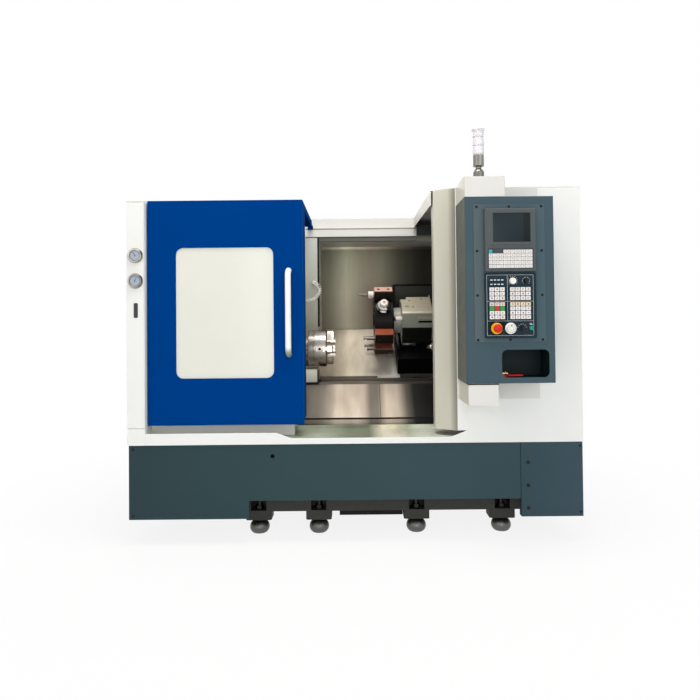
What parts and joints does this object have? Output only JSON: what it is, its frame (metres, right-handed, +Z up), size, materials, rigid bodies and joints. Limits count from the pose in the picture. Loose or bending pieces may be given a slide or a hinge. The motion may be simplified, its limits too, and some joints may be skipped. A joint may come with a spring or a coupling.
{
  "type": "cnc turning lathe",
  "caption": "Slant-bed turning lathe with a sliding guard door, stainless work area, indexing tool turret, tailstock and a control box on the front.",
  "frame": {"origin": "on the floor under the centre of the machine's bounding box at rest", "axes": "+X to the operator's right along the spindle line, +Y from the operator towards the back of the machine, +Z up"},
  "size_m": [2.2, 1.79, 1.967],
  "materials": {
    "paint_white": "satin",
    "paint_blue": "satin",
    "paint_slate": "satin",
    "paint_box": "satin",
    "paint_black": "satin",
    "paint_pale": "satin",
    "paint_motor": "matte",
    "cast_dark": "painted",
    "cast_grey": "machined",
    "stainless": "brushed",
    "steel_ground": "ground",
    "steel_dark": "oiled",
    "holder_steel": "worn",
    "hose_white": "matte",
    "chrome": "polished",
    "belt_rubber": "matte",
    "window_glass": "clear",
    "panel_slate": "satin",
    "unit_grey": "satin",
    "screen": "gloss",
    "plastic_red": "gloss",
    "plastic_black": "satin",
    "plastic_white": "gloss",
    "plastic_green": "gloss",
    "lens_clear": "frosted",
    "light_silver": "satin"
  },
  "bodies": {
    "machine": {"bed_casting": "cast_dark", "levelling_feet": "steel_dark", "base_skirt": "paint_slate", "base_end_cover": "paint_slate", "panel_screws": "chrome", "coolant_tray": "paint_black", "left_cabinet": "paint_white", "right_cabinet": "paint_white", "roof_beam": "paint_white", "front_sill": "paint_white", "inner_front_panel": "paint_white", "rear_cover": "paint_white", "back_wall": "stainless", "chip_guards": "stainless", "guide_ways": "steel_ground", "headstock": "cast_grey", "headstock_cover": "paint_pale", "spindle_bearings": "steel_ground", "drive_motors": "paint_motor", "drive_belt": "belt_rubber", "control_box": "paint_box", "control_ducts": "paint_white", "panel_plate": "paint_box", "cnc_unit": "unit_grey", "cnc_screen": "screen", "operator_panel": "panel_slate", "light_base": "light_silver", "light_lens": "lens_clear", "air_hose": "hose_white", "hose_fittings": "chrome"},
    "door": {"door_panel": "paint_blue", "door_window": "window_glass", "door_handle": "chrome"},
    "service_leaf": {"service_door": "paint_white", "pressure_gauges": "chrome"},
    "latch": {"latch_handle": "plastic_black"},
    "spindle_assembly": {"spindle": "steel_ground", "chuck_body": "steel_ground"},
    "drawtube": {"drawtube": "steel_dark"},
    "front_jaw": {"jaw_front": "steel_ground"},
    "upper_jaw": {"jaw_upper": "steel_ground"},
    "lower_jaw": {"jaw_lower": "steel_ground"},
    "motor_shaft": {"motor_pulley": "steel_dark"},
    "z_ball_screw": {"z_screw": "steel_ground"},
    "carriage": {"saddle": "cast_grey", "saddle_cover": "paint_black"},
    "x_ball_screw": {"x_screw": "steel_ground"},
    "cross_slide": {"turret_housing": "cast_grey"},
    "turret": {"turret_disc": "steel_dark", "tool_holders": "holder_steel", "cutting_tools": "steel_ground"},
    "tailstock_body": {"tailstock": "cast_grey"},
    "quill": {"quill": "steel_ground"},
    "centre": {"live_centre": "steel_ground"},
    "stop_cap": {"stop_button": "plastic_red"},
    "jog_dial": {"jog_wheel": "plastic_white"},
    "feed_dial": {"feed_knob": "plastic_white"},
    "speed_dial": {"speed_knob": "plastic_black"},
    "mode_grip": {"mode_selector": "plastic_black"},
    "start_cap": {"start_button": "plastic_green"}
  },
  "joints": [
    {"name": "door_slide", "type": "slide", "parent": "machine", "child": "door", "axis": [1, 0, 0], "range_m": [0, 0.62]},
    {"name": "service_hinge", "type": "hinge", "parent": "machine", "child": "service_leaf", "pos_m": [-1.093, 0.096, 1.1], "axis": [0, 0, -1], "range_deg": [0, 90]},
    {"name": "latch_hinge", "type": "hinge", "parent": "service_leaf", "child": "latch", "pos_m": [-1.055, -0.604, 1.1665], "axis": [-1, 0, 0], "range_deg": [0, 60]},
    {"name": "spindle_spin", "type": "hinge", "parent": "machine", "child": "spindle_assembly", "pos_m": [-0.5, -0.055, 0.919], "axis": [1, 0, 0], "continuous": true},
    {"name": "motor_spin", "type": "hinge", "parent": "machine", "child": "motor_shaft", "pos_m": [-0.7, 0.035, 0.44], "axis": [1, 0, 0], "continuous": true},
    {"name": "drawtube_slide", "type": "slide", "parent": "spindle_assembly", "child": "drawtube", "axis": [-1, 0, 0], "range_m": [0, 0.015]},
    {"name": "jaw_front_slide", "type": "slide", "parent": "spindle_assembly", "child": "front_jaw", "axis": [0, 1, 0], "range_m": [0, 0.0038]},
    {"name": "jaw_upper_slide", "type": "slide", "parent": "spindle_assembly", "child": "upper_jaw", "axis": [0, -0.5, -0.866], "range_m": [0, 0.0038]},
    {"name": "jaw_lower_slide", "type": "slide", "parent": "spindle_assembly", "child": "lower_jaw", "axis": [0, -0.5, 0.866], "range_m": [0, 0.0038]},
    {"name": "z_slide", "type": "slide", "parent": "machine", "child": "carriage", "axis": [1, 0, 0], "range_m": [-0.11, 0.23]},
    {"name": "z_screw_spin", "type": "hinge", "parent": "machine", "child": "z_ball_screw", "pos_m": [0.3, 0.35781, 0.804], "axis": [1, 0, 0], "continuous": true},
    {"name": "x_slide", "type": "slide", "parent": "carriage", "child": "cross_slide", "axis": [0, 0.866, 0.5], "range_m": [-0.095, 0.05]},
    {"name": "x_screw_spin", "type": "hinge", "parent": "carriage", "child": "x_ball_screw", "pos_m": [0.382, 0.30131, 0.90186], "axis": [0, 0.866, 0.5], "continuous": true},
    {"name": "turret_index", "type": "hinge", "parent": "cross_slide", "child": "turret", "pos_m": [0.123, 0.21174, 1.073], "axis": [1, 0, 0], "continuous": true},
    {"name": "tailstock_slide", "type": "slide", "parent": "machine", "child": "tailstock_body", "axis": [-1, 0, 0], "range_m": [0, 0.17]},
    {"name": "quill_slide", "type": "slide", "parent": "tailstock_body", "child": "quill", "axis": [-1, 0, 0], "range_m": [0, 0.06]},
    {"name": "centre_spin", "type": "hinge", "parent": "quill", "child": "centre", "pos_m": [0.408, -0.055, 0.919], "axis": [1, 0, 0], "continuous": true},
    {"name": "stop_press", "type": "slide", "parent": "machine", "child": "stop_cap", "axis": [0, 1, 0], "range_m": [0, 0.005], "stiffness_N_per_m": 1500, "springref_m": -0.002},
    {"name": "jog_spin", "type": "hinge", "parent": "machine", "child": "jog_dial", "pos_m": [0.691, -0.861, 1.038], "axis": [0, -1, 0], "continuous": true},
    {"name": "feed_turn", "type": "hinge", "parent": "machine", "child": "feed_dial", "pos_m": [0.703, -0.861, 1.247], "axis": [0, -1, 0], "range_deg": [-135, 135]},
    {"name": "speed_turn", "type": "hinge", "parent": "machine", "child": "speed_dial", "pos_m": [0.762, -0.861, 1.247], "axis": [0, -1, 0], "range_deg": [-135, 135]},
    {"name": "mode_turn", "type": "hinge", "parent": "machine", "child": "mode_grip", "pos_m": [0.742, -0.861, 1.038], "axis": [0, -1, 0], "range_deg": [-60, 60]},
    {"name": "start_press", "type": "slide", "parent": "machine", "child": "start_cap", "axis": [0, 1, 0], "range_m": [0, 0.003], "stiffness_N_per_m": 800, "springref_m": -0.002}
  ],
  "couplings": [
    {"joint": "motor_spin", "follows": "spindle_spin", "ratio": 1.25},
    {"joint": "jaw_front_slide", "follows": "drawtube_slide", "ratio": 0.2467},
    {"joint": "jaw_upper_slide", "follows": "drawtube_slide", "ratio": 0.2467},
    {"joint": "jaw_lower_slide", "follows": "drawtube_slide", "ratio": 0.2467},
    {"joint": "z_screw_spin", "follows": "z_slide", "rad_per_m": 628.32},
    {"joint": "x_screw_spin", "follows": "x_slide", "rad_per_m": 628.32}
  ]
}
